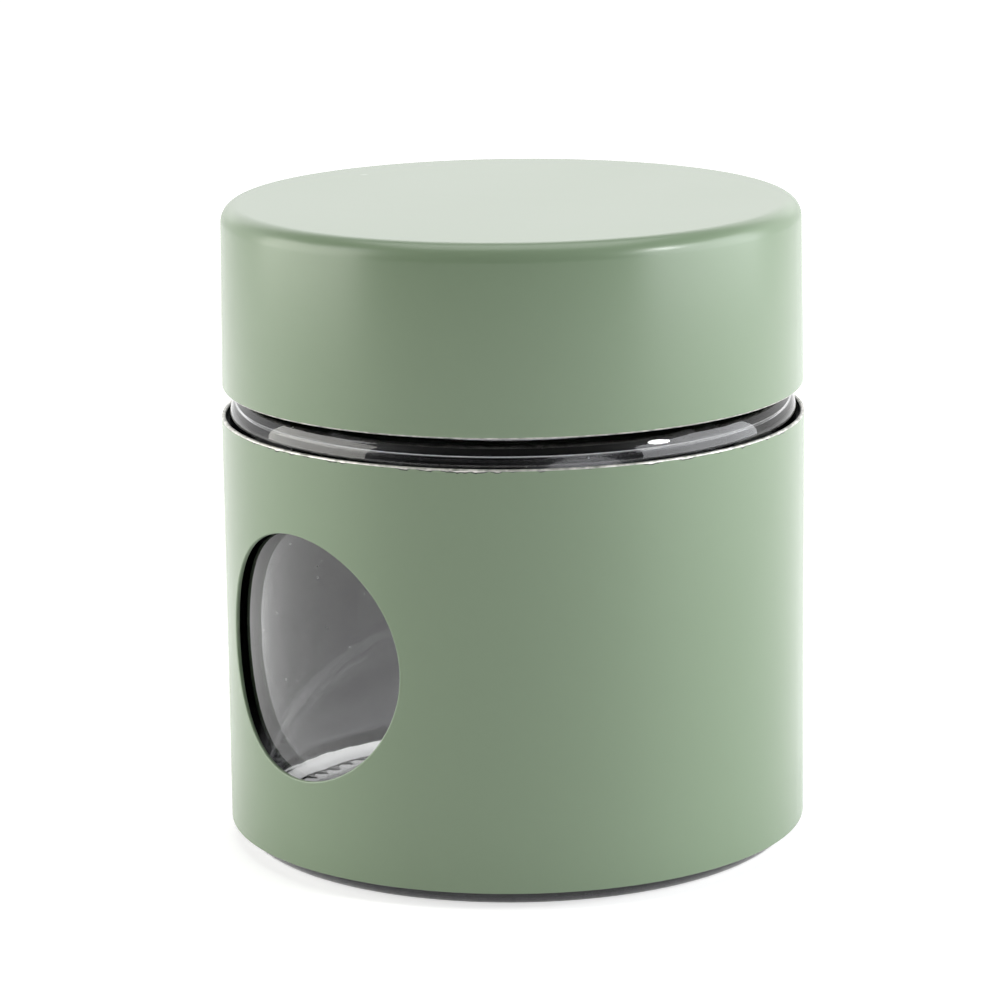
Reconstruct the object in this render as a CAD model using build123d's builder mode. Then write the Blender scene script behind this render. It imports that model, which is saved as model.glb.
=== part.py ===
from build123d import *
import os
from math import radians, tan

os.makedirs("parts", exist_ok=True)

# Spice jar: a glass jar in a painted steel sleeve with one round window, under a screw lid.
# Millimetres, +Z up. The origin is the middle of the bottom, on the surface that the jar
# stands on, and the window faces -Y.

# Steel sleeve
sleeve_radius = 35.1
sleeve_height = 50.1
sleeve_wall = 0.5
sleeve_lift = 2.0  # glass heel that shows under the sleeve
sheet_edge_round = 0.12  # on every cut edge of the sheet steel
window_radius = 14.7
window_offset = 0.4  # window centre above the middle of the sleeve

# Adhesive between the sleeve and the glass
glue_gap = 0.5
glue_band_height = 4.0
glue_band_drop = 3.1  # from the sleeve's top rim down to the band
glue_dab_height = 6.0
glue_dab_lift = 3.0  # from the sleeve's bottom rim up to the dabs
glue_dab_angle = 20
glue_dab_places = (-60, 60, 120)  # directions from +X, clear of the window's view

# Glass jar
glass_wall = 2.6
heel_round = 2.4
bearing_width = 3.1
push_up = 1.5
floor_thickness = 3.0
floor_dome = 0.6
inner_heel_round = 3.0
neck_wall = 2.8
neck_root_round = 0.75
floor_flat = 0.15  # between the inner heel's rounding and the domed floor
shoulder_clearance = 0.95  # under the lid's threaded insert
shoulder_slope = 20
shoulder_round = 4.4
shoulder_wall = 3.8  # below the shoulder's upper edge
ceiling_round = 0.4  # inside the shoulder, where it meets the bore
throat_round = 1.15
rim_outer_round_share = 0.43  # of the neck's wall
rim_inner_round_share = 0.32  # of the neck's wall
bead_round = 0.9
knurl_count = 72
knurl_radius = 0.7
knurl_depth = 0.25
knurl_inset = 0.7  # unbroken ring inside the knurling

# Steel lid cap
lid_height = 22.1
collar_gap = 3.4  # bare glass between the sleeve and the lid
flush_step = 0.1  # the lid's foot stands this far inside the sleeve's face
cap_draft = 0.35
cap_wall = 0.5
cap_corner_radius = 2.2
hem_height = 2.0
hem_round_share = 0.45  # of the hem's thickness

# Threaded insert, moulded, held in the cap by ribs and hot-melt dabs
insert_wall = 1.7
insert_top_thickness = 1.3
insert_corner_round = 1.0
insert_clearance = 0.05  # to the cap's hem and wall
insert_edge_round = 0.05
bore_edge_round = 0.4  # lead-in at the bore's mouth
flange_thickness = 1.2
rib_depth = 0.9
rib_width = 0.8
rib_count = 24
rib_drop = 2.5  # from the insert's top down to the ribs
plug_gap = 0.6  # from the plug ring to the inside of the neck
plug_wall = 0.8
plug_depth = 1.8  # below the glass rim
plug_tip_round_share = 0.25  # of the plug's wall, as is the next
plug_root_round_share = 0.5
nib_count = 6
nib_width = 3.0
nib_height = 0.45
nib_reach = 0.6
nib_drop = 0.3  # under the seal

# Hot-melt dabs between the insert and the cap
melt_gap = 1.2
melt_radius = 4.0
melt_count = 6
melt_circle_share = 0.6  # of the insert's radius

# Seal ring
seal_thickness = 1.2
seal_clearance = 0.3
seal_round = 0.15

# Screw thread: three starts, right-handed
thread_lead = 12.0
thread_starts = 3
thread_depth = 1.1
thread_clearance = 0.3
flank_clearance = 0.25
thread_sink = 0.4
thread_drop = 2.4  # from the glass rim down to the upper end of a thread
glass_thread_turn = 150
insert_thread_turn = 110
insert_thread_lag = 10
glass_base_share = 0.5  # of the pitch, as are the next three
glass_crest_share = 0.25
insert_base_share = 0.4
insert_crest_share = 0.22
run_out_share = 0.47  # radius of the cutter that thins an insert thread, of the insert's bore

cut_overrun = 1.0

# Heights, from the table up
sleeve_top = sleeve_lift + sleeve_height
window_height = sleeve_lift + sleeve_height / 2 + window_offset
lid_base = sleeve_top + collar_gap
lid_top = lid_base + lid_height
cap_ceiling = lid_top - cap_wall
insert_top = cap_ceiling - melt_gap
insert_ceiling = insert_top - insert_top_thickness
rim_height = insert_ceiling - seal_thickness
insert_base = lid_base + hem_height + insert_clearance
shoulder_top = insert_base - shoulder_clearance

# Radii, from the outside in
glass_radius = sleeve_radius - sleeve_wall - glue_gap
glass_bore = glass_radius - glass_wall
cap_radius = sleeve_radius - flush_step
cap_top_radius = cap_radius - cap_draft
insert_radius = cap_top_radius - cap_wall - rib_depth
insert_bore = insert_radius - insert_wall
thread_crest_radius = insert_bore - thread_clearance
neck_radius = thread_crest_radius - thread_depth
neck_bore = neck_radius - neck_wall
bearing_radius = glass_radius - heel_round - bearing_width
plug_radius = neck_bore - plug_gap

# Glass shoulder, which slopes down from the neck to the corner that is rounded
shoulder_edge = shoulder_top - (glass_radius - neck_radius) * tan(radians(shoulder_slope))
glass_ceiling = shoulder_top - shoulder_wall

# Thread places
thread_pitch = thread_lead / thread_starts
glass_thread_rise = thread_lead * glass_thread_turn / 360
insert_thread_rise = thread_lead * insert_thread_turn / 360
glass_thread_low = rim_height - thread_drop - glass_thread_rise
thread_offset = thread_pitch * (glass_base_share + insert_crest_share) / 2 + flank_clearance
insert_thread_low = glass_thread_low - thread_offset + thread_lead * insert_thread_lag / 360


def cap_inner_radius(height):
    """Inside radius of the cap's drawn wall, which leans in towards the top."""
    return cap_radius - cap_wall - cap_draft * (height - lid_base) / lid_height


def thread_ridge(root_radius, crest_radius, base_width, crest_width, turn, start_height):
    """One helical ridge of trapezoid section that starts over +X at the given height."""
    with BuildPart() as ridge:
        with BuildLine():
            path = Helix(
                pitch=thread_lead,
                height=thread_lead * turn / 360,
                radius=root_radius,
                center=(0, 0, start_height),
            )
        with BuildSketch(Plane(origin=path @ 0, x_dir=(1, 0, 0), z_dir=path % 0)):
            with BuildLine():
                Polyline(
                    (0, -base_width / 2),
                    (crest_radius - root_radius, -crest_width / 2),
                    (crest_radius - root_radius, crest_width / 2),
                    (0, base_width / 2),
                    close=True,
                )
            make_face()
        sweep(path=path, is_frenet=True)
    return ridge.part


# Glass thread: the crest is cut away by a flat at each end, so that it runs out into the neck
glass_ridge = thread_ridge(
    neck_radius - thread_sink,
    thread_crest_radius,
    thread_pitch * glass_base_share,
    thread_pitch * glass_crest_share,
    glass_thread_turn,
    glass_thread_low,
)
with BuildPart() as glass_thread:
    add(glass_ridge)
    for end_angle in (0, glass_thread_turn):
        flat_place = Plane.XY.offset(shoulder_top).rotated((0, 0, end_angle))
        with BuildSketch(flat_place):
            with Locations((neck_radius + thread_depth, 0)):
                Rectangle(2 * thread_depth, neck_radius)
        extrude(amount=rim_height - shoulder_top, mode=Mode.SUBTRACT)

# Insert thread: a round cutter against the bore thins it away at each end
insert_ridge = thread_ridge(
    insert_bore + thread_sink,
    neck_radius + thread_clearance,
    thread_pitch * insert_base_share,
    thread_pitch * insert_crest_share,
    insert_thread_turn,
    insert_thread_low,
)
run_out_radius = insert_bore * run_out_share
with BuildPart() as insert_thread:
    add(insert_ridge)
    for end_angle in (0, insert_thread_turn):
        cutter_place = Plane.XY.offset(insert_base).rotated((0, 0, end_angle))
        with BuildSketch(cutter_place):
            with Locations((insert_bore - run_out_radius, 0)):
                Circle(run_out_radius)
        extrude(amount=rim_height - insert_base, mode=Mode.SUBTRACT)

# Knurl groove: a round tool laid across the bearing ring, out to where the heel starts
with BuildPart() as knurl_groove:
    with BuildSketch(Plane.YZ.offset(bearing_radius + knurl_inset)):
        with Locations((0, knurl_depth - knurl_radius)):
            Circle(knurl_radius)
    extrude(amount=bearing_width - knurl_inset)

# Glass jar
with BuildPart() as glass_jar:
    with BuildSketch(Plane.XZ):
        with BuildLine():
            floor_edge = glass_bore - inner_heel_round - floor_flat
            FilletPolyline(
                (bearing_radius, 0),
                (glass_radius, 0),
                (glass_radius, shoulder_edge),
                (neck_radius, shoulder_top),
                (neck_radius, rim_height),
                (neck_bore, rim_height),
                (neck_bore, glass_ceiling),
                (glass_bore, glass_ceiling),
                (glass_bore, floor_thickness),
                (floor_edge, floor_thickness),
                radius=[
                    heel_round,
                    shoulder_round,
                    neck_root_round,
                    neck_wall * rim_outer_round_share,
                    neck_wall * rim_inner_round_share,
                    throat_round,
                    ceiling_round,
                    inner_heel_round,
                ],
            )
            floor_centre = (0, floor_thickness + floor_dome)
            TangentArc(floor_centre, (floor_edge, floor_thickness), tangent=(1, 0))
            Line(floor_centre, (0, push_up))
            TangentArc((0, push_up), (bearing_radius, 0), tangent=(1, 0))
        make_face()
    revolve(axis=Axis.Z)
    bead_height = (shoulder_top + insert_thread_low) / 2
    with BuildSketch(Plane.XZ):
        with Locations((thread_crest_radius - bead_round, bead_height)):
            Circle(bead_round)
    revolve(axis=Axis.Z)
    with PolarLocations(0, thread_starts):
        add(glass_thread.part)
    with PolarLocations(0, knurl_count):
        add(knurl_groove.part, mode=Mode.SUBTRACT)
glass_jar.part.label = "glass_jar"
export_step(glass_jar.part, "parts/glass_jar.step")

# Steel sleeve, with the window cut through the wall that faces -Y
with BuildPart() as sleeve:
    with BuildSketch(Plane.XY.offset(sleeve_lift)):
        Circle(sleeve_radius)
        Circle(sleeve_radius - sleeve_wall, mode=Mode.SUBTRACT)
    extrude(amount=sleeve_height)
    with BuildSketch(Plane.XZ):
        with Locations((0, window_height)):
            Circle(window_radius)
    extrude(amount=sleeve_radius + cut_overrun, mode=Mode.SUBTRACT)
    fillet(sleeve.edges().filter_by(GeomType.LINE, reverse=True), radius=sheet_edge_round)
sleeve.part.label = "sleeve"
export_step(sleeve.part, "parts/sleeve.step")

# Adhesive: a band near the top rim and three dabs near the bottom rim
with BuildPart() as sleeve_glue:
    with BuildSketch(Plane.XY.offset(sleeve_top - glue_band_drop - glue_band_height)):
        Circle(glass_radius + glue_gap)
        Circle(glass_radius, mode=Mode.SUBTRACT)
    extrude(amount=glue_band_height)
    for place in glue_dab_places:
        dab_plane = Plane.XZ.rotated((0, 0, place - glue_dab_angle / 2))
        dab_middle = sleeve_lift + glue_dab_lift + glue_dab_height / 2
        with BuildSketch(dab_plane):
            with Locations((glass_radius + glue_gap / 2, dab_middle)):
                Rectangle(glue_gap, glue_dab_height)
        revolve(axis=Axis.Z, revolution_arc=glue_dab_angle)
sleeve_glue.part.label = "sleeve_glue"
export_step(sleeve_glue.part, "parts/sleeve_glue.step")

# Lid cap: drawn sheet, its foot folded inwards into a hem
hem_thickness = 2 * cap_wall
hem_inner_radius = cap_inner_radius(lid_base + hem_height) - cap_wall
with BuildPart() as lid_cap:
    with BuildSketch(Plane.XZ):
        with BuildLine():
            shell = FilletPolyline(
                (0, lid_top),
                (cap_top_radius, lid_top),
                (cap_radius, lid_base),
                (cap_radius - hem_thickness, lid_base),
                (hem_inner_radius, lid_base + hem_height),
                (hem_inner_radius + cap_wall, lid_base + hem_height),
                (cap_inner_radius(cap_ceiling), cap_ceiling),
                (0, cap_ceiling),
                radius=[
                    cap_corner_radius,
                    hem_thickness * hem_round_share,
                    hem_thickness * hem_round_share,
                    sheet_edge_round,
                    sheet_edge_round,
                    cap_corner_radius - cap_wall,
                ],
            )
            Line(shell @ 1, shell @ 0)
        make_face()
    revolve(axis=Axis.Z)
lid_cap.part.label = "lid_cap"
export_step(lid_cap.part, "parts/lid_cap.step")

# One rib of the insert, over +X, shaped to the cap's leaning wall
rib_foot = insert_base + flange_thickness
rib_head = insert_top - rib_drop
rib_root = insert_radius - insert_wall / 2
with BuildPart() as insert_rib:
    with BuildSketch(Plane.XZ):
        with BuildLine():
            Polyline(
                (rib_root, rib_foot),
                (cap_inner_radius(rib_foot) - insert_clearance, rib_foot),
                (cap_inner_radius(rib_head) - insert_clearance, rib_head),
                (rib_root, rib_head),
                close=True,
            )
        make_face()
    extrude(amount=rib_width / 2, both=True)

# One nib under the seal, over +X
with BuildPart() as seal_nib:
    with BuildSketch(Plane.XZ):
        nib_middle = insert_bore + (thread_sink - nib_reach) / 2
        with Locations((nib_middle, rim_height - nib_drop - nib_height / 2)):
            Rectangle(nib_reach + thread_sink, nib_height)
    extrude(amount=nib_width / 2, both=True)

# Threaded insert
with BuildPart() as lid_insert:
    with BuildSketch(Plane.XZ):
        with BuildLine():
            flange_radius = cap_inner_radius(insert_base + flange_thickness) - insert_clearance
            body = FilletPolyline(
                (0, insert_top),
                (insert_radius, insert_top),
                (insert_radius, insert_base + flange_thickness),
                (flange_radius, insert_base + flange_thickness),
                (flange_radius, insert_base),
                (insert_bore, insert_base),
                (insert_bore, insert_ceiling),
                (plug_radius, insert_ceiling),
                (plug_radius, rim_height - plug_depth),
                (plug_radius - plug_wall, rim_height - plug_depth),
                (plug_radius - plug_wall, insert_ceiling),
                (0, insert_ceiling),
                radius=[
                    insert_corner_round,
                    insert_edge_round,
                    insert_edge_round,
                    insert_edge_round,
                    bore_edge_round,
                    insert_edge_round,
                    insert_edge_round,
                    plug_wall * plug_tip_round_share,
                    plug_wall * plug_tip_round_share,
                    plug_wall * plug_root_round_share,
                ],
            )
            Line(body @ 1, body @ 0)
        make_face()
    revolve(axis=Axis.Z)
    with PolarLocations(0, rib_count):
        add(insert_rib.part)
    with PolarLocations(0, nib_count):
        add(seal_nib.part)
    with PolarLocations(0, thread_starts, start_angle=insert_thread_lag):
        add(insert_thread.part)
lid_insert.part.label = "lid_insert"
export_step(lid_insert.part, "parts/lid_insert.step")

# Hot-melt dabs
with BuildPart() as cap_glue:
    with BuildSketch(Plane.XY.offset(insert_top)):
        with PolarLocations(insert_radius * melt_circle_share, melt_count):
            Circle(melt_radius)
    extrude(amount=melt_gap)
cap_glue.part.label = "cap_glue"
export_step(cap_glue.part, "parts/cap_glue.step")

# Seal ring, between the glass rim and the insert
with BuildPart() as lid_seal:
    with BuildSketch(Plane.XY.offset(rim_height)):
        Circle(insert_bore - seal_clearance)
        Circle(plug_radius + seal_clearance, mode=Mode.SUBTRACT)
    extrude(amount=seal_thickness)
    fillet(lid_seal.edges().filter_by(GeomType.CIRCLE), radius=seal_round)
lid_seal.part.label = "lid_seal"
export_step(lid_seal.part, "parts/lid_seal.step")
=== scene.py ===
import math
import bmesh
import bpy
from mathutils import Matrix, Vector


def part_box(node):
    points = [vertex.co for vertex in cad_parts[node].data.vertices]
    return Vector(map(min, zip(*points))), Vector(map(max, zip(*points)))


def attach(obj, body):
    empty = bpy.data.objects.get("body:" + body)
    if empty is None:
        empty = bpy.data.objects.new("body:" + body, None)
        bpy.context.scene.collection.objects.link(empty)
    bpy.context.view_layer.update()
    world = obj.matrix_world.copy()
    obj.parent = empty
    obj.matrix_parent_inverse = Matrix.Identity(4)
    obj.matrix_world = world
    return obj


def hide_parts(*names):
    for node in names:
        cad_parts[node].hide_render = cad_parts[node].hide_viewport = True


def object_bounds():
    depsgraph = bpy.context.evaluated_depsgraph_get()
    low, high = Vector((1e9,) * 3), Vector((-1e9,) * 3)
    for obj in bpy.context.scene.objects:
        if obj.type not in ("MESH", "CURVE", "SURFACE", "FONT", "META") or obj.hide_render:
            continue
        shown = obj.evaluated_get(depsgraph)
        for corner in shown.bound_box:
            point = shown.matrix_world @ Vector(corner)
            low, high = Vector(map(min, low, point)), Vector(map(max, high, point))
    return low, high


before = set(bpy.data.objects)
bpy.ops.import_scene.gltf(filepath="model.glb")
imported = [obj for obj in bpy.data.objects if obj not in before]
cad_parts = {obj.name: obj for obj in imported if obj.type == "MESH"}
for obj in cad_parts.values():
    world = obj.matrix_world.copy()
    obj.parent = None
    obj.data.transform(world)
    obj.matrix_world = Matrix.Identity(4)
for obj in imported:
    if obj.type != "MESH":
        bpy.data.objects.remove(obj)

mm = 0.001
tiny = 0.002 * mm  # how near two places count as the same
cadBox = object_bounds()
sleeveLow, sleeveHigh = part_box("sleeve")
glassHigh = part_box("glass_jar")[1]
capLow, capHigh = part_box("lid_cap")
insertLow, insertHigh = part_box("lid_insert")
sealLow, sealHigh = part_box("lid_seal")
print("frame loaded:", ", ".join(sorted(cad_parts)))


# Modelling helpers

def dropSelection():
    if bpy.context.object is not None and bpy.context.object.mode != "OBJECT":
        bpy.ops.object.mode_set(mode="OBJECT")
    bpy.ops.object.select_all(action="DESELECT")


def pickVerts(piece, test):
    # selects the vertices that pass the test, in edit mode, with their edges and faces
    bpy.ops.mesh.select_mode(type="VERT")
    bpy.ops.mesh.select_all(action="DESELECT")
    sheet = bmesh.from_edit_mesh(piece.data)
    for vert in sheet.verts:
        vert.select_set(test(vert.co))
    sheet.select_flush(True)
    bmesh.update_edit_mesh(piece.data)


def pickFaces(piece, test):
    bpy.ops.mesh.select_mode(type="FACE")
    bpy.ops.mesh.select_all(action="DESELECT")
    sheet = bmesh.from_edit_mesh(piece.data)
    for face in sheet.faces:
        face.select_set(test(face.calc_center_median()))
    bmesh.update_edit_mesh(piece.data)


def ringRadius(place):
    return math.hypot(place.x, place.y)


def drawOutline(name, corners):
    # a wire in the XZ plane; each corner is (radius, height, rounding, segments)
    dropSelection()
    bpy.ops.mesh.primitive_plane_add(size=mm)
    piece = bpy.context.object
    piece.name = name
    bpy.ops.object.mode_set(mode="EDIT")
    bpy.ops.mesh.select_mode(type="VERT")
    bpy.ops.mesh.merge(type="CENTER")
    bpy.ops.transform.translate(value=(corners[0][0], 0, corners[0][1]))
    for before, after in zip(corners, corners[1:]):
        step = (after[0] - before[0], 0, after[1] - before[1])
        bpy.ops.mesh.extrude_region_move(TRANSFORM_OT_translate={"value": step})
    for index in range(1, len(corners) - 1):
        radius, height, rounding, segments = corners[index]
        if not rounding:
            continue
        corner = Vector((radius, 0, height))
        back = Vector((corners[index - 1][0], 0, corners[index - 1][1])) - corner
        ahead = Vector((corners[index + 1][0], 0, corners[index + 1][1])) - corner
        reach = rounding / math.tan(back.angle(ahead) / 2)
        pickVerts(piece, lambda place: (place - corner).length < tiny)
        bpy.ops.mesh.bevel(offset=reach, segments=segments, affect="VERTICES", clamp_overlap=False)
    return piece


def divideRun(piece, low, high, cuts):
    # more points on the straight run between two (radius, height) ends
    a, b = Vector((low[0], 0, low[1])), Vector((high[0], 0, high[1]))
    run = b - a
    pickVerts(piece, lambda place: abs((place - a).length + (place - b).length - run.length) < tiny)
    bpy.ops.mesh.subdivide(number_cuts=cuts)


def spinOutline(piece, steps):
    bpy.ops.mesh.select_all(action="SELECT")
    bpy.ops.mesh.spin(steps=steps, angle=math.tau, center=(0, 0, 0), axis=(0, 0, 1))
    bpy.ops.mesh.select_all(action="SELECT")
    bpy.ops.mesh.remove_doubles(threshold=tiny)
    bpy.ops.mesh.normals_make_consistent(inside=False)
    bpy.ops.object.mode_set(mode="OBJECT")
    return piece


def pushVerts(piece, move):
    # moves each vertex by what the formula gives, or leaves it where that is None
    for vert in piece.data.vertices:
        shift = move(vert.co)
        if shift is not None:
            vert.co = vert.co + shift
    piece.data.update()


def smoothShade(piece, limit=35):
    dropSelection()
    piece.select_set(True)
    bpy.context.view_layer.objects.active = piece
    bpy.ops.object.shade_smooth_by_angle(angle=math.radians(limit))


def applyModifier(piece, kind, **settings):
    modifier = piece.modifiers.new(kind.title(), kind)
    for key, value in settings.items():
        setattr(modifier, key, value)
    bpy.context.view_layer.objects.active = piece
    bpy.ops.object.modifier_apply(modifier=modifier.name)


def dressPiece(piece, *materials):
    for material in materials:
        piece.data.materials.append(material)


def finishPiece(piece, body, node):
    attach(piece, body)
    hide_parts(node)
    print("made", piece.name, len(piece.data.polygons), "faces")


# Shader helpers

def newMaterial(name):
    material = bpy.data.materials.new(name)
    material.use_nodes = True
    return material, material.node_tree.nodes, material.node_tree.links


def makeGroup(name, inputs, outputs):
    group = bpy.data.node_groups.new(name, "ShaderNodeTree")
    for label, kind, value in inputs:
        socket = group.interface.new_socket(name=label, in_out="INPUT", socket_type=kind)
        if value is not None:
            socket.default_value = value
    for label, kind in outputs:
        group.interface.new_socket(name=label, in_out="OUTPUT", socket_type=kind)
    return group, group.nodes, group.links


def feedSocket(links, socket, value):
    # the value is another node's output, or a constant
    if isinstance(value, bpy.types.NodeSocket):
        links.new(value, socket)
    else:
        socket.default_value = value


def addMath(nodes, links, operation, *values):
    step = nodes.new("ShaderNodeMath")
    step.operation = operation
    for socket, value in zip(step.inputs, values):
        feedSocket(links, socket, value)
    return step.outputs[0]


grainShape = {
    "mottleDetail": 3,
    "grainDetail": 2,
    "speckEdge": (0.22, 0.08),  # a speck fades in between these distances from its middle
}


def makeFineGrain():
    # a slow mottle, a fine grain and rare specks, all on Object coordinates
    group, nodes, links = makeGroup(
        "fineGrain",
        [
            ("Mottle Size", "NodeSocketFloat", 60.0),
            ("Grain Size", "NodeSocketFloat", 1500.0),
            ("Speck Size", "NodeSocketFloat", 260.0),
            ("Speck Share", "NodeSocketFloat", 0.05),
        ],
        [
            ("Mottle", "NodeSocketFloat"),
            ("Grain", "NodeSocketFloat"),
            ("Specks", "NodeSocketFloat"),
        ],
    )
    entry = nodes.new("NodeGroupInput")
    leave = nodes.new("NodeGroupOutput")
    place = nodes.new("ShaderNodeTexCoord")
    mottle = nodes.new("ShaderNodeTexNoise")
    mottle.inputs["Detail"].default_value = grainShape["mottleDetail"]
    grain = nodes.new("ShaderNodeTexNoise")
    grain.inputs["Detail"].default_value = grainShape["grainDetail"]
    cells = nodes.new("ShaderNodeTexVoronoi")
    chance = nodes.new("ShaderNodeSeparateColor")
    core = nodes.new("ShaderNodeMapRange")
    core.inputs["From Min"].default_value, core.inputs["From Max"].default_value = grainShape["speckEdge"]
    for texture in (mottle, grain, cells):
        links.new(place.outputs["Object"], texture.inputs["Vector"])
    links.new(entry.outputs["Mottle Size"], mottle.inputs["Scale"])
    links.new(entry.outputs["Grain Size"], grain.inputs["Scale"])
    links.new(entry.outputs["Speck Size"], cells.inputs["Scale"])
    links.new(cells.outputs["Color"], chance.inputs["Color"])
    links.new(cells.outputs["Distance"], core.inputs["Value"])
    chosen = addMath(nodes, links, "LESS_THAN", chance.outputs["Red"], entry.outputs["Speck Share"])
    specks = addMath(nodes, links, "MULTIPLY", chosen, core.outputs["Result"])
    links.new(mottle.outputs["Fac"], leave.inputs["Mottle"])
    links.new(grain.outputs["Fac"], leave.inputs["Grain"])
    links.new(specks, leave.inputs["Specks"])
    return group


chipShape = {
    "detail": 4,
    "chipGain": 2.8,  # how far single chips differ in depth
    "stretchGain": 2.4,  # how far whole stretches of the edge differ
    "stretchShift": -2.1,
}


def makeChipAndShadeBand():
    # 1 within an uneven distance of a level edge: where the paint has broken off, and, reaching deeper, the
    # painted shade beside those chips
    group, nodes, links = makeGroup(
        "chipAndShadeBand",
        [
            ("Edge Height", "NodeSocketFloat", 0.0),
            ("Upwards", "NodeSocketFloat", 1.0),
            ("Depth", "NodeSocketFloat", 0.0003),
            ("Reach Limit", "NodeSocketFloat", 0.001),
            ("Chip Size", "NodeSocketFloat", 650.0),
            ("Stretch Size", "NodeSocketFloat", 45.0),
        ],
        [("Edge Band", "NodeSocketFloat")],
    )
    entry = nodes.new("NodeGroupInput")
    leave = nodes.new("NodeGroupOutput")
    place = nodes.new("ShaderNodeTexCoord")
    split = nodes.new("ShaderNodeSeparateXYZ")
    chips = nodes.new("ShaderNodeTexNoise")
    chips.inputs["Detail"].default_value = chipShape["detail"]
    stretches = nodes.new("ShaderNodeTexNoise")
    for texture in (chips, stretches):
        links.new(place.outputs["Object"], texture.inputs["Vector"])
    links.new(entry.outputs["Chip Size"], chips.inputs["Scale"])
    links.new(entry.outputs["Stretch Size"], stretches.inputs["Scale"])
    links.new(place.outputs["Object"], split.inputs[0])
    above = addMath(nodes, links, "SUBTRACT", split.outputs["Z"], entry.outputs["Edge Height"])
    side = addMath(nodes, links, "MULTIPLY", above, entry.outputs["Upwards"])
    stretched = addMath(
        nodes, links, "MULTIPLY_ADD",
        stretches.outputs["Fac"], chipShape["stretchGain"], chipShape["stretchShift"],
    )
    chipped = addMath(nodes, links, "MULTIPLY_ADD", chips.outputs["Fac"], chipShape["chipGain"], stretched)
    reach = addMath(nodes, links, "MULTIPLY", chipped, entry.outputs["Depth"])
    inside = addMath(nodes, links, "GREATER_THAN", addMath(nodes, links, "ADD", side, reach), 0)
    away = addMath(nodes, links, "ABSOLUTE", side)
    near = addMath(nodes, links, "LESS_THAN", away, entry.outputs["Reach Limit"])
    links.new(addMath(nodes, links, "MULTIPLY", inside, near), leave.inputs["Edge Band"])
    return group


def addGroup(nodes, group, values):
    node = nodes.new("ShaderNodeGroup")
    node.node_tree = group
    for label, value in values.items():
        node.inputs[label].default_value = value
    return node


def blendColour(nodes, links, mask, first, second):
    mix = nodes.new("ShaderNodeMix")
    mix.data_type = "RGBA"
    feedSocket(links, mix.inputs[6], first)
    feedSocket(links, mix.inputs[7], second)
    links.new(mask, mix.inputs[0])
    return mix.outputs[2]


def spreadValue(nodes, links, source, low, high):
    spread = nodes.new("ShaderNodeMapRange")
    spread.inputs["To Min"].default_value = low
    spread.inputs["To Max"].default_value = high
    links.new(source, spread.inputs["Value"])
    return spread.outputs["Result"]


def addBump(nodes, links, height, strength, distance):
    bump = nodes.new("ShaderNodeBump")
    bump.inputs["Strength"].default_value = strength
    bump.inputs["Distance"].default_value = distance
    links.new(height, bump.inputs["Height"])
    return bump.outputs["Normal"]


def linear(red, green, blue):
    # a screen colour, 0 to 255, as light, with full opacity
    light = [
        (part / 255 / 12.92) if part <= 10 else ((part / 255 + 0.055) / 1.055) ** 2.4
        for part in (red, green, blue)
    ]
    return (*light, 1)


# Finishes

fineGrain = makeFineGrain()
chipAndShadeBand = makeChipAndShadeBand()

paintFinish = {
    "grain": {"Mottle Size": 45, "Grain Size": 1800, "Speck Size": 330, "Speck Share": 0.006},
    "colour": linear(129, 149, 121),
    "paleColour": linear(132, 152, 124),
    "speckColour": linear(150, 166, 143),
    "roughness": (0.24, 0.28),
    "peelStrength": 0.05,
    "peelDepth": 0.02 * mm,
    # height, direction and depth of the chipping along the sleeve's upper rim and the lid's foot
    "chips": ((sleeveHigh.z, 1, 0.34 * mm), (capLow.z, -1, 0.16 * mm)),
    "bareColour": linear(240, 238, 232),
    "chipShadeReach": 1.5,  # painted shade: a dark band along the chips reaches this much deeper than the bare metal
    "paintedShadeColour": linear(44, 54, 46),
    "bareMetal": 0.35,
}


def makeGreenPaint():
    material, nodes, links = newMaterial("greenPaint")
    shader = nodes["Principled BSDF"]
    grain = addGroup(nodes, fineGrain, paintFinish["grain"])
    mottle = grain.outputs["Mottle"]
    colour = blendColour(nodes, links, mottle, paintFinish["colour"], paintFinish["paleColour"])
    colour = blendColour(nodes, links, grain.outputs["Specks"], colour, paintFinish["speckColour"])

    def chipAndShadeMask(reach):
        masks = []
        for height, upwards, depth in paintFinish["chips"]:
            values = {"Edge Height": height, "Upwards": upwards, "Depth": depth * reach}
            masks.append(addGroup(nodes, chipAndShadeBand, values).outputs["Edge Band"])
        return addMath(nodes, links, "MAXIMUM", *masks)

    # painted shade: a dark band a little deeper than the bare chips, standing for the shade along the rim
    shadeBand = chipAndShadeMask(paintFinish["chipShadeReach"])
    bare = chipAndShadeMask(1)
    colour = blendColour(nodes, links, shadeBand, colour, paintFinish["paintedShadeColour"])
    colour = blendColour(nodes, links, bare, colour, paintFinish["bareColour"])
    links.new(colour, shader.inputs["Base Color"])
    links.new(spreadValue(nodes, links, bare, 0, paintFinish["bareMetal"]), shader.inputs["Metallic"])
    links.new(spreadValue(nodes, links, mottle, *paintFinish["roughness"]), shader.inputs["Roughness"])
    links.new(
        addBump(nodes, links, grain.outputs["Grain"], paintFinish["peelStrength"], paintFinish["peelDepth"]),
        shader.inputs["Normal"],
    )
    return material


steelFinish = {
    "grain": {"Mottle Size": 90, "Grain Size": 2500},
    "colour": linear(123, 123, 127),
    "darkColour": linear(104, 104, 108),
    "roughness": (0.2, 0.28),
}
cutFinish = {
    "grain": {"Mottle Size": 900, "Grain Size": 1400},
    "stain": (-0.9, 1.5),  # stretches the mottle, so that some stretches are fully stained
    "colour": linear(240, 238, 232),
    "darkColour": linear(96, 104, 92),
    "metallic": 0.35,
    "roughness": (0.3, 0.45),
    "burrStrength": 0.8,
    "burrDepth": 0.08 * mm,
}


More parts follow.
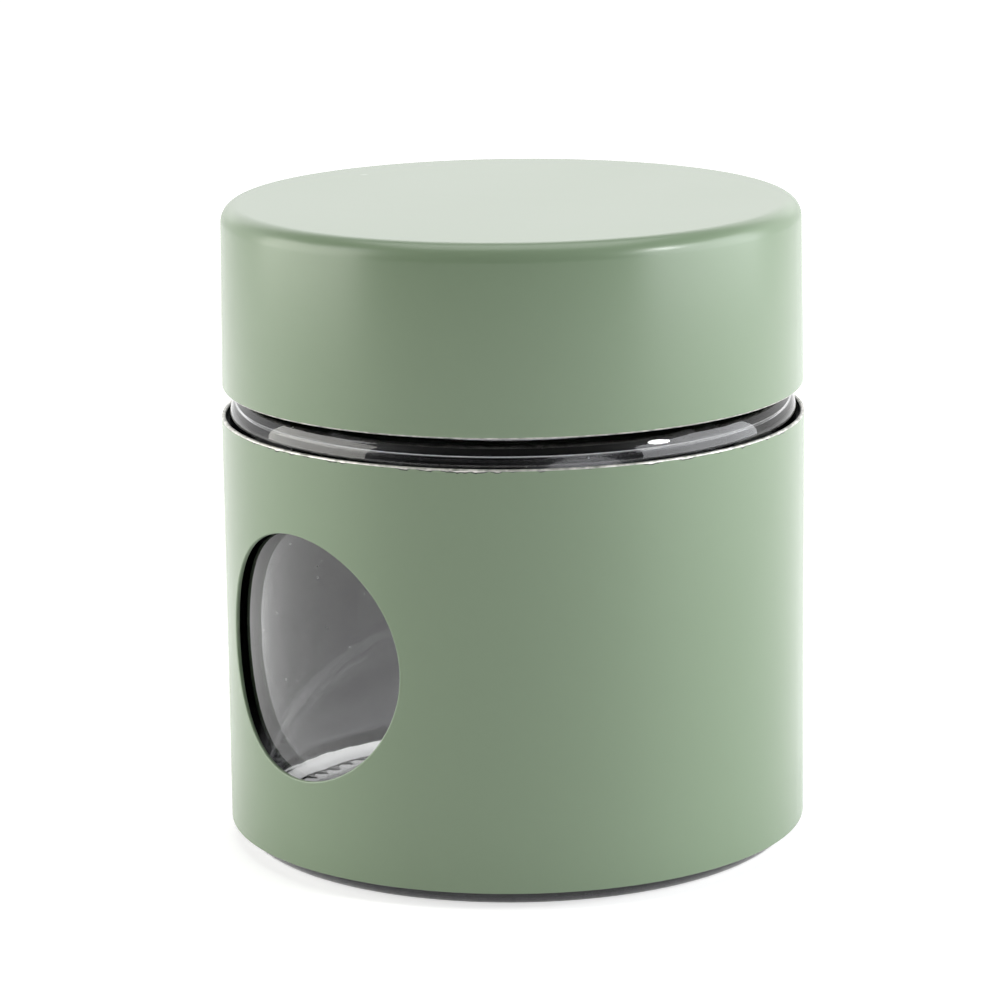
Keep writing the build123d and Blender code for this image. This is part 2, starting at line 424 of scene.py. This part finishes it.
def makeBareSteel():
    material, nodes, links = newMaterial("bareSteel")
    shader = nodes["Principled BSDF"]
    shader.inputs["Metallic"].default_value = 1
    mottle = addGroup(nodes, fineGrain, steelFinish["grain"]).outputs["Mottle"]
    colour = blendColour(nodes, links, mottle, steelFinish["colour"], steelFinish["darkColour"])
    links.new(colour, shader.inputs["Base Color"])
    links.new(spreadValue(nodes, links, mottle, *steelFinish["roughness"]), shader.inputs["Roughness"])
    return material


def makeCutSteel():
    # the sheet's cut edge: bright, burred and paint-stained in places
    material, nodes, links = newMaterial("cutSteel")
    shader = nodes["Principled BSDF"]
    shader.inputs["Metallic"].default_value = cutFinish["metallic"]
    grain = addGroup(nodes, fineGrain, cutFinish["grain"])
    stained = spreadValue(nodes, links, grain.outputs["Mottle"], *cutFinish["stain"])
    colour = blendColour(nodes, links, stained, cutFinish["colour"], cutFinish["darkColour"])
    links.new(colour, shader.inputs["Base Color"])
    burr = grain.outputs["Grain"]
    links.new(spreadValue(nodes, links, burr, *cutFinish["roughness"]), shader.inputs["Roughness"])
    links.new(
        addBump(nodes, links, burr, cutFinish["burrStrength"], cutFinish["burrDepth"]),
        shader.inputs["Normal"],
    )
    return material


glassFinish = {
    "grain": {"Mottle Size": 140, "Speck Size": 1300, "Speck Share": 0.01},
    "bending": 1.5,
    "tint": (0.99, 0.99, 0.99, 1),
    "absorbed": (0.04, 0.06, 0.09, 1),  # the colour that deep glass takes on
    "density": 64,  # per metre: a wall looks clear, the length of the floor looks dark grey
    "lampsPass": (0.9, 0.91, 0.91, 1),
    "dustRoughness": 0.5,
    "waveStrength": 0.1,
    "waveDepth": 0.25 * mm,
}


def makeClearGlass():
    material, nodes, links = newMaterial("clearGlass")
    shader = nodes["Principled BSDF"]
    shader.inputs["Base Color"].default_value = glassFinish["tint"]
    shader.inputs["IOR"].default_value = glassFinish["bending"]
    shader.inputs["Transmission Weight"].default_value = 1
    grain = addGroup(nodes, fineGrain, glassFinish["grain"])
    dusty = spreadValue(nodes, links, grain.outputs["Specks"], 0, glassFinish["dustRoughness"])
    links.new(dusty, shader.inputs["Roughness"])
    links.new(
        addBump(nodes, links, grain.outputs["Mottle"], glassFinish["waveStrength"], glassFinish["waveDepth"]),
        shader.inputs["Normal"],
    )
    depth = nodes.new("ShaderNodeVolumeAbsorption")
    depth.inputs["Color"].default_value = glassFinish["absorbed"]
    depth.inputs["Density"].default_value = glassFinish["density"]
    links.new(depth.outputs[0], nodes["Material Output"].inputs["Volume"])
    lampsPass = nodes.new("ShaderNodeBsdfTransparent")
    lampsPass.inputs["Color"].default_value = glassFinish["lampsPass"]
    rays = nodes.new("ShaderNodeLightPath")
    either = nodes.new("ShaderNodeMixShader")
    links.new(rays.outputs["Is Shadow Ray"], either.inputs[0])
    links.new(shader.outputs[0], either.inputs[1])
    links.new(lampsPass.outputs[0], either.inputs[2])
    links.new(either.outputs[0], nodes["Material Output"].inputs["Surface"])
    return material


mouldedFinishes = {
    "blackPlastic": {
        "colour": (0.012, 0.012, 0.013, 1), "paleColour": (0.018, 0.018, 0.019, 1),
        "roughness": (0.34, 0.46), "grainDepth": 0.02 * mm,
    },
    "whiteSilicone": {
        "colour": (0.7, 0.7, 0.68, 1), "paleColour": (0.78, 0.78, 0.76, 1),
        "roughness": (0.4, 0.5), "grainDepth": 0.02 * mm,
    },
    "milkyGlue": {
        "colour": (0.36, 0.36, 0.345, 1), "paleColour": (0.44, 0.44, 0.42, 1),
        "roughness": (0.35, 0.5), "grainDepth": 0.05 * mm,
    },
}
mouldedGrain = {"Mottle Size": 120, "Grain Size": 3000}
mouldedGrainStrength = 0.15


def makeMoulded(name):
    finish = mouldedFinishes[name]
    material, nodes, links = newMaterial(name)
    shader = nodes["Principled BSDF"]
    grain = addGroup(nodes, fineGrain, mouldedGrain)
    mixed = blendColour(nodes, links, grain.outputs["Mottle"], finish["colour"], finish["paleColour"])
    fine = grain.outputs["Grain"]
    links.new(mixed, shader.inputs["Base Color"])
    links.new(spreadValue(nodes, links, fine, *finish["roughness"]), shader.inputs["Roughness"])
    bumped = addBump(nodes, links, fine, mouldedGrainStrength, finish["grainDepth"])
    links.new(bumped, shader.inputs["Normal"])
    return material


greenPaint = makeGreenPaint()
bareSteel = makeBareSteel()
cutSteel = makeCutSteel()
clearGlass = makeClearGlass()
blackPlastic, whiteSilicone, milkyGlue = (makeMoulded(name) for name in mouldedFinishes)
print("finishes ready")


# Glass jar, spun from its outline, with the knurled foot and the threads pushed into its skin

glassJar = {
    "steps": 432,
    "radius": glassHigh.x,
    "wall": 2.6 * mm,
    "heelRound": 2.4 * mm,
    "bearingWidth": 3.1 * mm,
    "pushUp": 1.5 * mm,
    "domeShares": (0.15, 0.3, 0.45, 0.6, 0.75, 0.9),
    "floor": 3.0 * mm,
    "floorDome": 0.6 * mm,
    "innerHeelRound": 3.0 * mm,
    "neckRadius": 30.15 * mm,
    "neckWall": 2.8 * mm,
    "rootRound": 0.75 * mm,
    "floorFlat": 0.15 * mm,
    "shoulderTop": 56.6 * mm,
    "shoulderSlope": math.radians(20),
    "shoulderRound": 4.4 * mm,
    "shoulderWall": 3.8 * mm,
    "ceilingRound": 0.4 * mm,
    "throatRound": 1.15 * mm,
    "rimRounds": (1.2 * mm, 0.9 * mm),
    "rim": glassHigh.z,
    "knurls": 72,
    "knurlRadius": 0.7 * mm,
    "knurlDepth": 0.25 * mm,
    "knurlInset": 0.7 * mm,
    "knurlCuts": 8,
    "beadRound": 0.9 * mm,
    "beadHeight": 60.1 * mm,
    "beadPower": 0.75,
    "wallCuts": 5,
    # heights on the neck's skin, each with the number of cuts up to the next one
    "neckRows": ((58.9 * mm, 15), (61.3 * mm, 3), (64.85 * mm, 83), (72.05 * mm, 0)),
}
screwThread = {
    "starts": 3,
    "lead": 12 * mm,
    "depth": 1.1 * mm,
    # how far each thread runs in degrees, where it begins, and its width at the root and the crest
    "glassTurn": 150,
    "glassLow": 66.0 * mm,
    "glassBase": 2.0 * mm,
    "glassCrest": 1.0 * mm,
    "insertTurn": 110,
    "insertLag": 10,
    "insertLow": 64.643 * mm,
    "insertBase": 1.6 * mm,
    "insertCrest": 0.88 * mm,
    "runOut": 15,  # degrees over which a thread's end dies away
}


def threadHeight(place, lowest, turn, lag, base, crest):
    # 0 beside the thread, 1 on its crest, falling away towards both ends
    angle = math.degrees(math.atan2(place.y, place.x)) - lag
    best = 0
    for start in range(screwThread["starts"]):
        along = (angle - start * 360 / screwThread["starts"]) % 360
        if along > turn:
            continue
        away = abs(place.z - lowest - screwThread["lead"] * along / 360)
        ramp = min(1, max(0, (base / 2 - away) / ((base - crest) / 2)))
        ends = min(1, along / screwThread["runOut"], (turn - along) / screwThread["runOut"])
        best = max(best, ramp * ramp * (3 - 2 * ramp) * ends * (2 - ends))
    return best


def knurlShift(place):
    # the groove's depth at this angle, across the ring that the jar stands on
    jar = glassJar
    out = ringRadius(place)
    ringOuter = jar["radius"] - jar["heelRound"]
    ringInner = ringOuter - jar["bearingWidth"] + jar["knurlInset"]
    if place.z > tiny or not ringInner < out < ringOuter - tiny:
        return None
    pitch = math.tau / jar["knurls"]
    side = (math.atan2(place.y, place.x) + pitch / 2) % pitch - pitch / 2
    across = abs(side) * out
    if across > jar["knurlRadius"]:
        return None
    depth = math.sqrt(jar["knurlRadius"] ** 2 - across ** 2) - jar["knurlRadius"] + jar["knurlDepth"]
    return Vector((0, 0, max(0, depth)))


def neckShift(place):
    jar = glassJar
    out = ringRadius(place)
    if abs(out - jar["neckRadius"]) > tiny:
        return None
    push = screwThread["depth"] * threadHeight(
        place, screwThread["glassLow"], screwThread["glassTurn"], 0,
        screwThread["glassBase"], screwThread["glassCrest"],
    )
    off = abs(place.z - jar["beadHeight"]) / jar["beadRound"]
    if off < 1:
        push = max(push, screwThread["depth"] * (1 - off * off) ** jar["beadPower"])
    return Vector((place.x, place.y, 0)) * (push / out)


def makeGlassJar():
    jar = glassJar
    outer, neck = jar["radius"], jar["neckRadius"]
    bore, throat = outer - jar["wall"], neck - jar["neckWall"]
    ceiling = jar["shoulderTop"] - jar["shoulderWall"]
    ring = outer - jar["heelRound"] - jar["bearingWidth"]
    floorEdge = bore - jar["innerHeelRound"] - jar["floorFlat"]
    shoulderEdge = jar["shoulderTop"] - (outer - neck) * math.tan(jar["shoulderSlope"])
    corners = [(0, jar["pushUp"], 0, 0)]
    for share in jar["domeShares"]:
        corners.append((ring * share, jar["pushUp"] * (1 - share ** 2), 0, 0))
    corners += [
        (ring, 0, 0, 0),
        (outer, 0, jar["heelRound"], 12),
        (outer, shoulderEdge, jar["shoulderRound"], 22),
        (neck, jar["shoulderTop"], jar["rootRound"], 5),
        *((neck, height, 0, 0) for height, cuts in jar["neckRows"]),
        (neck, jar["rim"], jar["rimRounds"][0], 7),
        (throat, jar["rim"], jar["rimRounds"][1], 6),
        (throat, ceiling, jar["throatRound"], 6),
        (bore, ceiling, jar["ceilingRound"], 6),
        (bore, jar["floor"], jar["innerHeelRound"], 12),
        (floorEdge, jar["floor"], 0, 0),
    ]
    for share in (*reversed(jar["domeShares"]), 0):
        corners.append((floorEdge * share, jar["floor"] + jar["floorDome"] * (1 - share ** 2), 0, 0))
    piece = drawOutline("glassJar", corners)
    for (low, cuts), (high, last) in zip(jar["neckRows"], jar["neckRows"][1:]):
        divideRun(piece, (neck, low), (neck, high), cuts)
    divideRun(piece, (ring, 0), (outer - jar["heelRound"], 0), jar["knurlCuts"])
    wallLow = (bore, jar["floor"] + jar["innerHeelRound"])
    divideRun(piece, wallLow, (bore, ceiling - jar["ceilingRound"]), jar["wallCuts"])
    spinOutline(piece, jar["steps"])
    pushVerts(piece, knurlShift)
    pushVerts(piece, neckShift)
    smoothShade(piece, limit=50)
    dressPiece(piece, clearGlass)
    finishPiece(piece, "jar", "glass_jar")


makeGlassJar()


# Steel sleeve: a flat sheet with a round hole, rolled up, given its thickness and soft rims

steelSleeve = {
    "columns": 264,
    "rows": 60,
    "patch": 24,  # cells from the window's middle to the side of the square round it
    "rings": 10,
    "windowRadius": 14.7 * mm,
    "windowRise": 0.4 * mm,  # above the sleeve's mid-height
    "wall": 0.5 * mm,
    "rimRound": 0.2 * mm,
}


def makeSleeve():
    sleeve = steelSleeve
    radius = sleeveHigh.x
    height = sleeveHigh.z - sleeveLow.z
    middle = (sleeveHigh.z + sleeveLow.z) / 2
    around = math.tau * radius
    cell = (around / sleeve["columns"], height / sleeve["rows"])
    dropSelection()
    bpy.ops.mesh.primitive_grid_add(
        x_subdivisions=sleeve["columns"], y_subdivisions=sleeve["rows"], size=1, enter_editmode=True
    )
    piece = bpy.context.object
    piece.name = "steelSleeve"
    bpy.ops.transform.resize(value=(around, height, 1))
    reach = sleeve["patch"]
    pickFaces(piece, lambda spot: abs(spot.x) < reach * cell[0] and abs(spot.y) < reach * cell[1])
    bpy.ops.mesh.delete(type="FACE")
    bpy.ops.mesh.select_mode(type="EDGE")
    bpy.ops.mesh.select_all(action="DESELECT")
    sheet = bmesh.from_edit_mesh(piece.data)
    for edge in sheet.edges:
        side = max(abs(edge.verts[0].co.x + edge.verts[1].co.x) / 2 / cell[0],
                   abs(edge.verts[0].co.y + edge.verts[1].co.y) / 2 / cell[1])
        edge.select_set(edge.is_boundary and side < reach + 0.5)
    bmesh.update_edit_mesh(piece.data)
    for left in range(sleeve["rings"], 0, -1):
        # each new ring comes nearer to the round hole, which a straight tool cuts through the roll
        bpy.ops.mesh.extrude_edges_move()
        sheet = bmesh.from_edit_mesh(piece.data)
        for vert in sheet.verts:
            if vert.select:
                across = radius * math.sin(vert.co.x / radius)
                up = vert.co.y - sleeve["windowRise"]
                away = math.hypot(across, up)
                share = (away + (sleeve["windowRadius"] - away) / left) / away
                vert.co.x = radius * math.asin(across * share / radius)
                vert.co.y = up * share + sleeve["windowRise"]
        bmesh.update_edit_mesh(piece.data)
    bpy.ops.object.mode_set(mode="OBJECT")

    def roll(place):
        angle = place.x / radius
        rolled = Vector((radius * math.sin(angle), -radius * math.cos(angle), middle + place.y))
        return rolled - place

    pushVerts(piece, roll)
    bpy.ops.object.mode_set(mode="EDIT")
    bpy.ops.mesh.select_all(action="SELECT")
    bpy.ops.mesh.remove_doubles(threshold=tiny)
    bpy.ops.mesh.normals_make_consistent(inside=False)
    bpy.ops.object.mode_set(mode="OBJECT")
    smoothShade(piece, limit=180)
    dressPiece(piece, greenPaint, bareSteel, cutSteel)
    applyModifier(
        piece, "SOLIDIFY", thickness=sleeve["wall"], offset=-1, material_offset=1, material_offset_rim=2
    )
    applyModifier(
        piece, "BEVEL", width=sleeve["rimRound"], segments=3, limit_method="ANGLE",
        angle_limit=math.radians(40), harden_normals=True, material=2,
    )
    for face in piece.data.polygons:
        # the window's edge and the lower rim are painted, the upper rim is bare
        if face.material_index == 2 and face.center.z < sleeveHigh.z - sleeve["wall"]:
            face.material_index = 0
    finishPiece(piece, "jar", "sleeve")


makeSleeve()


# Lid cap, spun from the outline of the drawn sheet with its folded foot

lidCap = {
    "steps": 288,
    "footRadius": capHigh.x,
    "draft": 0.35 * mm,
    "wall": 0.5 * mm,
    "cornerRadius": 2.2 * mm,
    "cornerGap": 0.6 * mm,  # from the flat top's last ring of points to the rounded corner
    "topRingShare": 0.5,
    "hemHeight": 2.0 * mm,
    "hemRoundShare": 0.45,  # of the hem's width
    "hemTopRound": 0.12 * mm,
    "bareTilt": -0.55,  # faces of the foot that point further down than this are bare
}


def makeLidCap():
    cap = lidCap
    top, foot = capHigh.z, capLow.z
    ceiling = top - cap["wall"]
    topRadius = cap["footRadius"] - cap["draft"]
    hem = 2 * cap["wall"]
    hemRound = hem * cap["hemRoundShare"]

    def innerRadius(height):
        return cap["footRadius"] - cap["wall"] - cap["draft"] * (height - foot) / (top - foot)

    hemTop = foot + cap["hemHeight"]
    hemRadius = innerRadius(hemTop) - cap["wall"]
    corners = [
        (0, top, 0, 0),
        (topRadius * cap["topRingShare"], top, 0, 0),
        (topRadius - cap["cornerRadius"] - cap["cornerGap"], top, 0, 0),
        (topRadius, top, cap["cornerRadius"], 14),
        (cap["footRadius"], foot, hemRound, 6),
        (cap["footRadius"] - hem, foot, hemRound, 6),
        (hemRadius, hemTop, cap["hemTopRound"], 3),
        (hemRadius + cap["wall"], hemTop, 0, 0),
        (innerRadius(ceiling), ceiling, cap["cornerRadius"] - cap["wall"], 8),
        (0, ceiling, 0, 0),
    ]
    piece = drawOutline("lidCap", corners)
    spinOutline(piece, cap["steps"])
    smoothShade(piece, limit=50)
    dressPiece(piece, greenPaint, bareSteel, cutSteel)
    for face in piece.data.polygons:
        if face.center.z < foot + hem / 2 and face.normal.z < cap["bareTilt"]:
            face.material_index = 2  # paint rubbed off the edge that the lid stands on
        outwards = face.normal.x * face.center.x + face.normal.y * face.center.y
        if hemTop - tiny < face.center.z < ceiling + tiny and (outwards < 0 or face.normal.z < 0):
            face.material_index = 1
    finishPiece(piece, "lid", "lid_cap")


makeLidCap()


# Threaded insert, with its plug ring, ribs and the nibs under the seal

lidInsert = {
    "steps": 360,
    "bore": 31.55 * mm,
    "wall": 1.7 * mm,
    "flange": 1.2 * mm,
    "cornerRound": 1.0 * mm,
    "soft": 0.1 * mm,  # the rounding of its small edges
    "threadGap": 0.3 * mm,
    # heights in the bore, each with the number of cuts up to the next one
    "boreRows": ((69.3 * mm, 62), (63.75 * mm, 0)),
    "plugRadius": 26.75 * mm,
    "plugWall": 0.8 * mm,
    "plugDepth": 1.8 * mm,
    "ribs": 24,
    "ribWidth": 0.8 * mm,
    "ribGap": 0.3 * mm,
    "ribHigh": 66.8 * mm,
    "nibs": 6,
    "nibSize": (0.6 * mm, 3.0 * mm, 0.45 * mm),
    "nibDrop": 0.3 * mm,
    "blockRound": 0.12 * mm,
}


def makeBlocks(count, middleRadius, size, middleHeight):
    # one small block with softened edges, then its copies round the axis
    bpy.ops.mesh.select_all(action="DESELECT")
    bpy.ops.mesh.primitive_cube_add(size=1, scale=size, location=(middleRadius, 0, middleHeight))
    bpy.ops.mesh.bevel(offset=lidInsert["blockRound"], segments=2, affect="EDGES")
    for index in range(count - 1):
        bpy.ops.mesh.duplicate()
        bpy.ops.transform.rotate(value=math.tau / count, orient_axis="Z", center_override=(0, 0, 0))


def makeLidInsert():
    insert = lidInsert
    bore, plug = insert["bore"], insert["plugRadius"]
    skirt = bore + insert["wall"]
    low, high = insertLow.z, insertHigh.z
    ceiling = sealHigh.z
    rim = sealLow.z
    soft = insert["soft"]
    corners = [
        (0, high, 0, 0),
        (skirt, high, insert["cornerRound"], 6),
        (skirt, low + insert["flange"], soft, 2),
        (insertHigh.x, low + insert["flange"], soft, 2),
        (insertHigh.x - soft, low, soft, 2),
        (bore, low, 2 * soft, 3),
        *((bore, height, 0, 0) for height, cuts in reversed(insert["boreRows"])),
        (bore, ceiling, soft, 2),
        (plug, ceiling, soft, 2),
        (plug, rim - insert["plugDepth"], insert["plugWall"] / 4, 4),
        (plug - insert["plugWall"], rim - insert["plugDepth"], insert["plugWall"] / 4, 4),
        (plug - insert["plugWall"], ceiling, insert["plugWall"] / 2, 5),
        (0, ceiling, 0, 0),
    ]
    piece = drawOutline("lidInsert", corners)
    for (upper, cuts), (lower, last) in zip(insert["boreRows"], insert["boreRows"][1:]):
        divideRun(piece, (bore, lower), (bore, upper), cuts)
    spinOutline(piece, insert["steps"])
    reach = bore - glassJar["neckRadius"] - insert["threadGap"]

    def boreShift(place):
        out = ringRadius(place)
        if abs(out - bore) > tiny:
            return None
        push = reach * threadHeight(
            place, screwThread["insertLow"], screwThread["insertTurn"],
            screwThread["insertLag"], screwThread["insertBase"], screwThread["insertCrest"],
        )
        return Vector((place.x, place.y, 0)) * (-push / out)

    pushVerts(piece, boreShift)
    dropSelection()
    piece.select_set(True)
    bpy.context.view_layer.objects.active = piece
    bpy.ops.object.mode_set(mode="EDIT")
    ribLow, ribHigh = low + insert["flange"], insert["ribHigh"]
    ribReach = insertHigh.x - insert["ribGap"] - skirt + soft
    makeBlocks(
        insert["ribs"], skirt - soft + ribReach / 2,
        (ribReach, insert["ribWidth"], ribHigh - ribLow), (ribHigh + ribLow) / 2,
    )
    nib = insert["nibSize"]
    makeBlocks(
        insert["nibs"], bore - nib[0] / 2 + soft, (nib[0] + 2 * soft, nib[1], nib[2]),
        rim - insert["nibDrop"] - nib[2] / 2,
    )
    bpy.ops.object.mode_set(mode="OBJECT")
    smoothShade(piece, limit=40)
    dressPiece(piece, blackPlastic)
    finishPiece(piece, "lid", "lid_insert")


makeLidInsert()


# Seal ring, a flat band of silicone under the lid's ceiling

sealRing = {
    "steps": 288,
    "bore": 27.05 * mm,
    "soft": 0.15 * mm,
}


def makeSealRing():
    inner, outer = sealRing["bore"], sealHigh.x
    start = ((inner + outer) / 2, sealHigh.z, 0, 0)
    ends = ((outer, sealHigh.z), (outer, sealLow.z), (inner, sealLow.z), (inner, sealHigh.z))
    corners = [start, *((*end, sealRing["soft"], 3) for end in ends), start]
    piece = drawOutline("sealRing", corners)
    spinOutline(piece, sealRing["steps"])
    smoothShade(piece, limit=50)
    dressPiece(piece, whiteSilicone)
    finishPiece(piece, "seal", "lid_seal")


makeSealRing()

# The adhesives keep the shapes of the solids and get their own finish

for name in ("sleeve_glue", "cap_glue"):
    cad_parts[name].data.materials.clear()
    dressPiece(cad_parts[name], milkyGlue)
print("pieces ready")


# Studio: pale floor, soft boxes at both sides and above, and the photograph's viewpoint

studio = {
    "turn": 47.2,  # the camera's direction from -Y, towards +X
    "floorRadius": 1.2,
    "floorCorners": 96,
    "floorColour": (0.8, 0.8, 0.8, 1),
    "floorRoughness": 0.9,
    # how white the floor looks at a distance from the axis, with a painted shadow: darkest under the glass
    # heel, then brightening out to 0.3 m
    "floorGlowWithPaintedShadow": (
        (0, 0.68), (0.0312, 0.68), (0.033, 0.14), (0.0338, 0.15), (0.0345, 0.6), (0.06, 0.85), (0.3, 1),
    ),
    "ambient": 0.03,
    "cameraWhite": 1,
    "backdrop": 1.2,  # as reflections and the glass see it
    "darkFront": 0.05,
    "frontFade": (0.15, 0.8),  # cosines of the angle to the viewer, where the backdrop turns dark
    "darkCeiling": 0.25,
    "ceilingFade": (0.45, 0.75),  # sines of the angle above the floor, where it turns darker
}
middleHeight = cadBox[1][2] / 2
lamps = {
    "rightBox": {
        "angle": 81.5, "distance": 0.6, "height": 0.22, "size": (0.7, 0.44),
        "brightness": 4.1, "shape": "RECTANGLE", "colour": (0.98, 1, 1.03), "target": 0.22,
    },
    "leftBox": {
        "angle": -86, "distance": 0.6, "height": 0.22, "size": (0.6, 0.44),
        "brightness": 3.8, "shape": "RECTANGLE", "colour": (1, 0.99, 0.93), "target": 0.22,
    },
    "keyLamp": {
        "angle": 64, "distance": 0.45, "height": 0.32, "size": (0.08, 0.11),
        "brightness": 21, "shape": "ELLIPSE", "target": middleHeight,
    },
    "backBox": {
        "angle": 180, "distance": 0.9, "height": 0.55, "size": (1.2, 0.7),
        "brightness": 0.62, "shape": "RECTANGLE", "target": 0.55,
    },
    "topBox": {
        "angle": 180, "distance": 0.1, "height": 0.62, "size": (0.5, 0.4),
        "brightness": 2.1, "shape": "RECTANGLE", "target": 0,
    },
    "fillLamp": {
        "angle": -75, "distance": 0.45, "height": 0.42, "size": (0.2, 0.16),
        "brightness": 2.4, "shape": "ELLIPSE", "target": middleHeight,
    },
}


def studioPlace(angle, distance, height):
    # a place by its angle from the camera's direction, towards the viewer's right
    heading = math.radians(studio["turn"] + angle)
    return Vector((math.sin(heading) * distance, -math.cos(heading) * distance, height))


def aimAt(holder, target):
    towards = (target - holder.location).normalized()
    holder.rotation_euler = towards.to_track_quat("-Z", "Y").to_euler()


def addLamp(name, lamp):
    # its target is the height on the axis that it points at
    light = bpy.data.lights.new(name, "AREA")
    light.shape = lamp["shape"]
    light.size, light.size_y = lamp["size"]
    light.energy = lamp["brightness"] * math.pi * light.size * light.size_y
    light.color = lamp.get("colour", (1, 1, 1))
    holder = bpy.data.objects.new(name, light)
    bpy.context.scene.collection.objects.link(holder)
    holder.location = studioPlace(lamp["angle"], lamp["distance"], lamp["height"])
    aimAt(holder, Vector((0, 0, lamp["target"])))


def shownRays(nodes, links):
    # 1 for what the camera, a reflection or the glass looks at, 0 for light on the object
    rays = nodes.new("ShaderNodeLightPath").outputs
    seen = addMath(nodes, links, "MAXIMUM", rays["Is Camera Ray"], rays["Is Glossy Ray"])
    return addMath(nodes, links, "MAXIMUM", seen, rays["Is Transmission Ray"])


def fadeValue(nodes, links, source, limits, first, last):
    fade = nodes.new("ShaderNodeMapRange")
    fade.interpolation_type = "SMOOTHSTEP"
    for label, value in zip(("From Min", "From Max", "To Min", "To Max"), (*limits, first, last)):
        fade.inputs[label].default_value = value
    links.new(source, fade.inputs["Value"])
    return fade.outputs["Result"]


def blendValue(nodes, links, mask, first, second):
    mix = nodes.new("ShaderNodeMix")
    feedSocket(links, mix.inputs[2], first)
    feedSocket(links, mix.inputs[3], second)
    links.new(mask, mix.inputs[0])
    return mix.outputs[0]


def makeFloor():
    material, nodes, links = newMaterial("paleFloor")
    shader = nodes["Principled BSDF"]
    shader.inputs["Base Color"].default_value = studio["floorColour"]
    shader.inputs["Roughness"].default_value = studio["floorRoughness"]
    shader.inputs["Specular IOR Level"].default_value = 0
    place = nodes.new("ShaderNodeTexCoord")
    reach = nodes.new("ShaderNodeVectorMath")
    reach.operation = "LENGTH"
    glowWithShadow = nodes.new("ShaderNodeValToRGB")
    stops = glowWithShadow.color_ramp.elements
    for radius, strength in studio["floorGlowWithPaintedShadow"]:
        # the ramp already has a stop at 0, and a white one at 1
        stop = stops.new(radius) if radius else stops[0]
        stop.color = (strength, strength, strength, 1)
    links.new(place.outputs["Object"], reach.inputs[0])
    links.new(reach.outputs["Value"], glowWithShadow.inputs["Fac"])
    # the floor's glow for camera, reflection and glass rays, with the painted shadow round the jar's foot
    lift = addMath(nodes, links, "MULTIPLY", shownRays(nodes, links), glowWithShadow.outputs["Color"])
    shader.inputs["Emission Color"].default_value = (1, 1, 1, 1)
    links.new(lift, shader.inputs["Emission Strength"])
    dropSelection()
    bpy.ops.mesh.primitive_circle_add(
        vertices=studio["floorCorners"], radius=studio["floorRadius"], fill_type="NGON"
    )
    floor = bpy.context.object
    floor.name = "floor"
    dressPiece(floor, material)


def makeWorld():
    world = bpy.data.worlds.new("studioWorld")
    bpy.context.scene.world = world
    world.use_nodes = True
    nodes, links = world.node_tree.nodes, world.node_tree.links
    nodes.clear()
    leave = nodes.new("ShaderNodeOutputWorld")
    background = nodes.new("ShaderNodeBackground")
    place = nodes.new("ShaderNodeTexCoord")
    along = nodes.new("ShaderNodeVectorMath")
    along.operation = "DOT_PRODUCT"
    along.inputs[1].default_value = studioPlace(0, 1, 0)
    split = nodes.new("ShaderNodeSeparateXYZ")
    for socket in (along.inputs[0], split.inputs[0]):
        links.new(place.outputs["Generated"], socket)
    front = fadeValue(
        nodes, links, along.outputs["Value"], studio["frontFade"], studio["backdrop"], studio["darkFront"]
    )
    above = fadeValue(nodes, links, split.outputs["Z"], studio["ceilingFade"], 1, studio["darkCeiling"])
    backdrop = addMath(nodes, links, "MULTIPLY", front, above)
    lit = blendValue(nodes, links, shownRays(nodes, links), studio["ambient"], backdrop)
    cameraRay = nodes.new("ShaderNodeLightPath").outputs["Is Camera Ray"]
    shown = blendValue(nodes, links, cameraRay, lit, studio["cameraWhite"])
    links.new(shown, background.inputs["Strength"])
    background.inputs["Color"].default_value = (1, 1, 1, 1)
    links.new(background.outputs[0], leave.inputs["Surface"])


viewpoint = {
    "distance": 501.75 * mm,
    "height": 154.97 * mm,
    "yaw": -0.195,
    "pitch": 12.836,
    "roll": -0.697,
    "lens": 152.77,
    "sensor": 36,
    "nearClip": 0.01,
}


def placeCamera():
    yaw, pitch, roll = (math.radians(viewpoint[key]) for key in ("yaw", "pitch", "roll"))
    turn = Matrix.Rotation(math.radians(studio["turn"]), 3, "Z")
    forward = Vector((math.sin(yaw) * math.cos(pitch), math.cos(yaw) * math.cos(pitch), -math.sin(pitch)))
    right = Vector((math.cos(yaw), -math.sin(yaw), 0))
    up = right.cross(forward)
    rolledRight = right * math.cos(roll) + up * math.sin(roll)
    rolledUp = up * math.cos(roll) - right * math.sin(roll)
    axes = Matrix((turn @ rolledRight, turn @ rolledUp, turn @ -forward)).transposed()
    camera = bpy.data.objects.new("camera", bpy.data.cameras.new("camera"))
    bpy.context.scene.collection.objects.link(camera)
    camera.data.lens = viewpoint["lens"]
    camera.data.sensor_width = viewpoint["sensor"]
    camera.data.clip_start = viewpoint["nearClip"]
    place = studioPlace(0, viewpoint["distance"], viewpoint["height"])
    camera.matrix_world = Matrix.Translation(place) @ axes.to_4x4()
    bpy.context.scene.camera = camera


makeFloor()
makeWorld()
for name, lamp in lamps.items():
    addLamp(name, lamp)
placeCamera()
bpy.context.scene.view_settings.view_transform = "Standard"
print("studio ready")

dropSelection()
